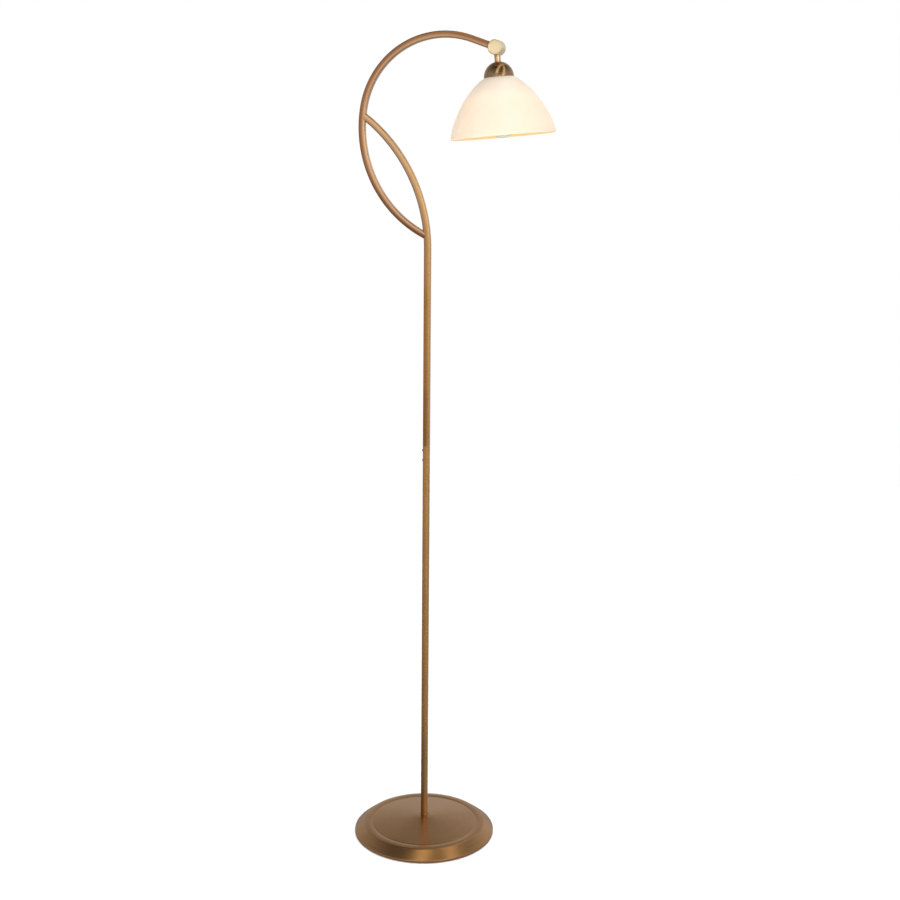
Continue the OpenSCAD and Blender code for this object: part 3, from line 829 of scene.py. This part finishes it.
def make_cup():
    """The spun cup over the lampholder, with a rolled mouth."""
    top = math.asin(SLEEVE_R / CUP_R)
    steps = 26
    outer, inner = [], []
    for k in range(steps + 1):
        a = top + (math.pi / 2 - 0.05 - top) * k / steps
        outer.append((CUP_R * math.sin(a), CUP_D - CUP_R * math.cos(a)))
        r = CUP_R - CUP_WALL
        inner.append((r * math.sin(a), CUP_D - r * math.cos(a)))
    roll = [(CUP_R, CUP_D - 0.9), (CUP_R, CUP_D - 0.35), (CUP_R - 0.3, CUP_D), (CUP_R - 1.2, CUP_D),
            (CUP_R - CUP_WALL, CUP_D - 0.3)]
    neck = [(NIPPLE_HOLE_R, outer[0][1]), (SLEEVE_R - 0.2, outer[0][1])]
    floor = [(NIPPLE_HOLE_R, inner[0][1])]
    verts, faces = turned(hung(neck + outer[1:] + roll + inner[::-1] + floor), 160)
    piece(mesh_object("cup_spun", verts, faces, HEAD_FRAME), HEAD, "dark_bronze", CUP_BRONZE, "cup",
          angle=40)


def thread(depth, pitch, low, high):
    """A radius change that cuts a round thread between two heights."""
    def shape(r, z, a):
        if not low <= z <= high:
            return r
        fade = min(1.0, (z - low) / pitch, (high - z) / pitch)
        return r - depth * fade * (0.5 - 0.5 * math.cos(2 * math.pi * (z / pitch - a / (2 * math.pi))))
    return shape


def make_lampholder_body():
    """The holder's body: a flange under the cup and a threaded skirt inside the shade."""
    skirt = [(HOLDER_R, d) for d in frange(SHADE_TOP_D, HOLDER_END_D - 0.6, 0.3)]
    outline = [(HOLDER_IN_R, HOLDER_TOP_D), (HOLDER_R, HOLDER_TOP_D), (HOLDER_R, FLANGE_D),
               (FLANGE_R - 0.3, FLANGE_D), (FLANGE_R, FLANGE_D + 0.3), (FLANGE_R, SHADE_TOP_D - 0.3),
               (FLANGE_R - 0.3, SHADE_TOP_D)]
    outline += skirt + [(HOLDER_R - 0.6, HOLDER_END_D), (HOLDER_IN_R + 0.3, HOLDER_END_D),
                        (HOLDER_IN_R, HOLDER_END_D - 0.3)]
    groove = thread(0.7, 2.5, -HOLDER_END_D, -RING_D0)

    def shape(r, z, a):
        return groove(r, z, a) if abs(r - HOLDER_R) < 0.1 else r

    verts, faces = turned(hung(outline), 96, shape)
    piece(mesh_object("lampholder_skirt", verts, faces, HEAD_FRAME), HEAD, "holder_plastic", PLASTIC,
          "lampholder_body", angle=50)


def make_shade_ring():
    """The screwed ring that holds the shade, with grips round its edge."""
    grips = 20
    outline = softened([
        (HOLDER_R + 0.02, RING_D0, 0.2), (RING_OUT_R, RING_D0, 0.4), (RING_OUT_R, RING_D0 + 3, 0.6),
        (RING_OUT_R - 1.6, RING_D1, 0.6), (HOLDER_R + 0.02, RING_D1, 0.3)], 4)

    def shape(r, z, a):
        if r < RING_OUT_R - 2:
            return r
        return r - 0.9 * max(0.0, math.cos(grips * a)) ** 2

    verts, faces = turned(hung(outline), 240, shape)
    piece(mesh_object("shade_ring_gripped", verts, faces, HEAD_FRAME), HEAD, "holder_plastic", PLASTIC,
          "shade_ring", angle=40)


def make_shade():
    """The bell of cased opal glass: flat top, drooping shoulders and a rounded rim."""
    path = [(SHADE_FLAT_R, SHADE_TOP_D), (SHADE_R - 21, SHADE_TOP_D + 26),
            (SHADE_R + 1, SHADE_D - 10), (SHADE_R - 0.6, SHADE_D - GLASS_T / 2)]
    steps = 64
    outer, inner = [], []
    for k in range(steps + 1):
        t = k / steps
        p, n = curve_point(path, t), curve_normal(path, t)
        outer.append((p.x, p.y))
        inner.append((p.x + GLASS_T * n.x, p.y + GLASS_T * n.y))
    n = curve_normal(path, 1)
    middle = Vector(outer[-1]) + n * GLASS_T / 2
    rim = []
    for k in range(1, 12):
        a = math.pi * k / 12
        rim.append((middle.x + GLASS_T / 2 * math.cos(a), middle.y + GLASS_T / 2 * math.sin(a)))
    top = [(SHADE_HOLE_R, SHADE_TOP_D + 0.5), (SHADE_HOLE_R + 0.5, SHADE_TOP_D)]
    bottom = [(SHADE_HOLE_R + 0.5, SHADE_TOP_D + GLASS_T), (SHADE_HOLE_R, SHADE_TOP_D + GLASS_T - 0.5)]
    outline = top + outer + rim + inner[:0:-1] + [(SHADE_FLAT_R - 0.5, SHADE_TOP_D + GLASS_T)] + bottom
    marks = [0.0] * len(top + outer) + [k / 12 for k in range(1, 12)]
    marks += [1.0] * (len(outline) - len(marks))
    sides = 192
    shade = mesh_object("shade_opal_bell", *turned(hung(outline), sides), HEAD_FRAME)
    layer = shade.data.attributes.new("inside", "FLOAT", "POINT")
    layer.data.foreach_set("value", [m for m in marks for _ in range(sides)])
    piece(shade, HEAD, "opal_glass", OPAL, "shade", angle=50)


def make_bulb():
    """A round frosted bulb: a hollow glass and a screwed metal base."""
    centre = BULB_D - BULB_R
    path = [(BULB_NECK_R, BULB_NECK_D), (BULB_NECK_R, BULB_NECK_D + 19), (BULB_R, centre - 19),
            (BULB_R, centre)]
    steps = 30
    outer, inner = [], []
    for k in range(steps + 1):
        p, n = curve_point(path, k / steps), curve_normal(path, k / steps)
        outer.append((p.x, p.y))
        inner.append((p.x + BULB_WALL * n.x, p.y + BULB_WALL * n.y))
    for k in range(1, 25):
        a = math.pi / 2 * k / 24
        outer.append((BULB_R * math.cos(a) if k < 24 else 0.0, centre + BULB_R * math.sin(a)))
        r = BULB_R - BULB_WALL
        inner.append((r * math.cos(a) if k < 24 else 0.0, centre + r * math.sin(a)))
    glass = mesh_object("bulb_frosted_globe", *turned(hung(outer + inner[::-1]), 96), HEAD_FRAME)
    piece(glass, HEAD, "bulb_glass", FROSTED, "bulb_glass", angle=50)
    wall = 0.6
    top = BULB_BASE_D0
    outline = [(0, top - 2), (3.4, top - 2), (4.4, top - 1.5), (5.4, top), (11.0, top + 1.6),
               (BULB_BASE_R, top + 4)]
    outline += [(BULB_BASE_R, d) for d in frange(top + 4.4, BULB_BASE_D1, 0.3)]
    outline += [(BULB_BASE_R - wall, BULB_BASE_D1), (BULB_BASE_R - wall, top + 4.5), (4.5, top + 1),
                (0, top + 1)]
    cutting = thread(0.55, 3.6, 1 - BULB_BASE_D1, -top - 5)

    def shape(r, z, a):
        return cutting(r, z, a) if r > BULB_BASE_R - 0.1 else r

    base = mesh_object("bulb_screw_base", *turned(hung(outline), 96, shape), HEAD_FRAME)
    piece(base, HEAD, "bulb_nickel", NICKEL, "bulb_base", angle=50)


# --------------------------------------------------- CAD parts that stay as they are

KEPT = {
    "base_weight": (IRON, "cast_iron"),
    "base_pad": (FELT, "felt"),
    "base_stud": (ZINC, "zinc_steel"),
    "base_washer": (ZINC, "zinc_steel"),
    "base_nut": (ZINC, "zinc_steel"),
    "pole_foot_plug": (ZINC, "zinc_steel"),
    "joint_spigot": (ZINC, "zinc_steel"),
    "inner_cable": (CABLE, "cable_sheath"),
    "knuckle_tongue": (CAD_BRONZE, "antique_bronze"),
    "knuckle_bolt": (ZINC, "zinc_steel"),
    "knuckle_nut": (ZINC, "zinc_steel"),
    "friction_washers": (FIBRE, "fibre"),
    "stem_nipple": (ZINC, "zinc_steel"),
    "cup_nut": (ZINC, "zinc_steel"),
    "lampholder_cap": (PLASTIC, "holder_plastic"),
    "lampholder_insert": (CERAMIC, "holder_ceramic"),
    "lampholder_contact": (CONTACT_BRASS, "contact_brass"),
    "lampholder_shell": (CONTACT_BRASS, "contact_brass"),
    "head_cable": (CABLE, "cable_sheath"),
}


def dress_cad_nodes():
    for name, (material, slot) in KEPT.items():
        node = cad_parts[name]
        node.data.materials.clear()
        node.data.materials.append(material)


# ------------------------------------------------------------- stage and camera


def make_floor():
    """A round pale floor. Mirrored in metal it is dimmer, as a floor in half shade is."""
    mesh = bpy.data.meshes.new("floor")
    sides = 96
    angles = [2 * math.pi * k / sides for k in range(sides)]
    ring = [(FLOOR_R * math.cos(a), FLOOR_R * math.sin(a), -FLOOR_DROP) for a in angles]
    mesh.from_pydata(ring, [], [list(range(sides))])
    floor = bpy.data.objects.new("floor", mesh)
    bpy.context.scene.collection.objects.link(floor)
    paint = Paint("floor_pale", Roughness=0.9, Specular_IOR_Level=0.1)
    mirrored = paint.add("ShaderNodeLightPath").outputs["Is Glossy Ray"]
    paint.link(paint.mix(mirrored, (0.98, 0.98, 0.98, 1), (0.3, 0.29, 0.28, 1)), "Base Color")
    mesh.materials.append(paint.material)


def along(tree, way, direction):
    """How far the ray's direction runs along another direction, from -1 to 1."""
    return tree.add("ShaderNodeVectorMath", [way, direction], operation="DOT_PRODUCT").outputs["Value"]


def strip(tree, way, plane, power):
    """A long softbox that bends with the wall, lying in a plane through the room's middle."""
    half = tree.spread(tree.split(way)[2], 0.4, 0.9, 0.12, 0.04)
    reach = tree.math("ABSOLUTE", along(tree, way, plane))
    glow = tree.spread(reach, half, tree.math("ADD", half, STRIP_EDGE), 1.0, 0.0)
    return tree.math("MULTIPLY", glow, power)


def wall_level(tree, way):
    """Pale walls under a dark ceiling, with a bright panel behind the camera."""
    x, _, z = tree.split(way)
    wall = tree.math("MINIMUM", tree.spread(z, -0.05, 0.05, 0.5, 0.68),
                     tree.spread(z, 0.35, 0.96, 0.68, 0.04))
    panel = tree.math("MINIMUM", tree.spread(z, -0.2, -0.06, 0.3, 2.0),
                      tree.spread(z, 0.16, 0.32, 2.0, 0.5))
    facing = tree.spread(along(tree, way, FRONT), 0.45, 0.9, 1.0, panel)
    side = tree.spread(x, -0.7, 0.3, 0.78, 1.0)
    return tree.math("MULTIPLY", tree.math("MULTIPLY", wall, facing), side)


def strip_level(tree, way):
    """The two long softboxes, fading out at their ends."""
    x, y, z = tree.split(way)
    tall = tree.math("MULTIPLY", strip(tree, way, STRIP_TALL, TALL_POWER), tree.spread(y, 0.8, 0.0))
    tall = tree.math("MULTIPLY", tall, tree.spread(z, 0.28, 0.55))
    right = tree.math("MULTIPLY", strip(tree, way, STRIP_RIGHT, RIGHT_POWER), tree.spread(x, 0.2, 0.36))
    right = tree.math("MULTIPLY", right, tree.spread(z, -0.4, -0.05))
    return tree.math("ADD", tall, right)


def make_world():
    """A studio that is white to the camera; metal mirrors pale walls, a dark ceiling and
    two long softboxes."""
    world = bpy.data.worlds.new("studio")
    bpy.context.scene.world = world
    world.use_nodes = True
    world.node_tree.nodes.clear()
    tree = Nodes(world.node_tree)
    way = tree.add("ShaderNodeTexCoord").outputs["Generated"]
    walls = tree.add("ShaderNodeBackground", [(1.0, 0.99, 0.98, 1), wall_level(tree, way)])
    strips = tree.add("ShaderNodeBackground", [(1.0, 0.88, 0.62, 1), strip_level(tree, way)])
    room = tree.add("ShaderNodeAddShader", [walls.outputs[0], strips.outputs[0]])
    white = tree.add("ShaderNodeBackground", [(1, 1, 1, 1), 1.0])
    soft = tree.add("ShaderNodeBackground", [(1, 1, 1, 1), DIFFUSE_LEVEL])
    rays = tree.add("ShaderNodeLightPath").outputs
    lit = tree.add("ShaderNodeMixShader", [rays["Is Diffuse Ray"], room.outputs[0], soft.outputs[0]])
    seen = tree.add("ShaderNodeMixShader", [rays["Is Camera Ray"], lit.outputs[0], white.outputs[0]])
    tree.add("ShaderNodeOutputWorld", [seen.outputs[0]])


def add_light(name, kind, **settings):
    """A light that metal doesn't mirror and the camera doesn't see."""
    data = bpy.data.lights.new(name, kind)
    for key, value in settings.items():
        setattr(data, key, value)
    light = bpy.data.objects.new(name, data)
    light.visible_glossy = False
    light.visible_camera = False
    bpy.context.scene.collection.objects.link(light)
    return light


def make_lights():
    """Soft light for the glass, the felt and the floor; the metal mirrors the studio's walls."""
    sun = add_light("overhead_sun", "SUN", energy=2.4, angle=math.radians(50))
    sun.rotation_euler = (math.radians(-14), math.radians(4), 0)
    place, target = Vector((0.7, -3.2, 1.6)), Vector((0.15, 0, 1.35))
    fill = add_light("front_fill", "AREA", shape="RECTANGLE", size=1.2, size_y=1.2, energy=60)
    fill.location = place
    fill.rotation_mode = "QUATERNION"
    fill.rotation_quaternion = (target - place).to_track_quat("-Z", "Y")


def make_camera():
    """The camera of the view: a plain lens, no shift and no depth of field."""
    data = bpy.data.cameras.new("camera")
    data.sensor_width = SENSOR_WIDTH
    data.lens = LENS
    data.clip_start, data.clip_end = 0.05, 60.0
    camera = bpy.data.objects.new("camera", data)
    bpy.context.scene.collection.objects.link(camera)
    spot = Vector(CAMERA_PLACE)
    heading = math.atan2(-spot.y, -spot.x) + CAMERA_PAN
    level = math.cos(CAMERA_PITCH)
    ahead = Vector((math.cos(heading) * level, math.sin(heading) * level, -math.sin(CAMERA_PITCH)))
    right = ahead.cross(Vector((0, 0, 1))).normalized()
    up = right.cross(ahead)
    turned_right = math.cos(CAMERA_ROLL) * right + math.sin(CAMERA_ROLL) * up
    turned_up = math.cos(CAMERA_ROLL) * up - math.sin(CAMERA_ROLL) * right
    axes = Matrix((turned_right, turned_up, -ahead)).transposed().to_4x4()
    camera.matrix_world = Matrix.Translation(spot) @ axes
    bpy.context.scene.camera = camera


make_camera()
make_world()
make_lights()
make_floor()
bpy.context.scene.view_settings.view_transform = "Standard"

dress_cad_nodes()
make_base_cover()
make_grommet()
make_lower_pole()
make_upper_pole()
make_arm()
make_screw("joint_screw_upper", SCREW_Z)
make_screw("joint_screw_lower", SCREW_Z - SCREW_PITCH)
make_barrel()
make_cap("knuckle_cap_front", "knuckle_front_cap", -1)
make_cap("knuckle_cap_rear", "knuckle_rear_cap", 1)
make_sleeve()
make_cup()
make_lampholder_body()
make_shade_ring()
make_shade()
make_bulb()
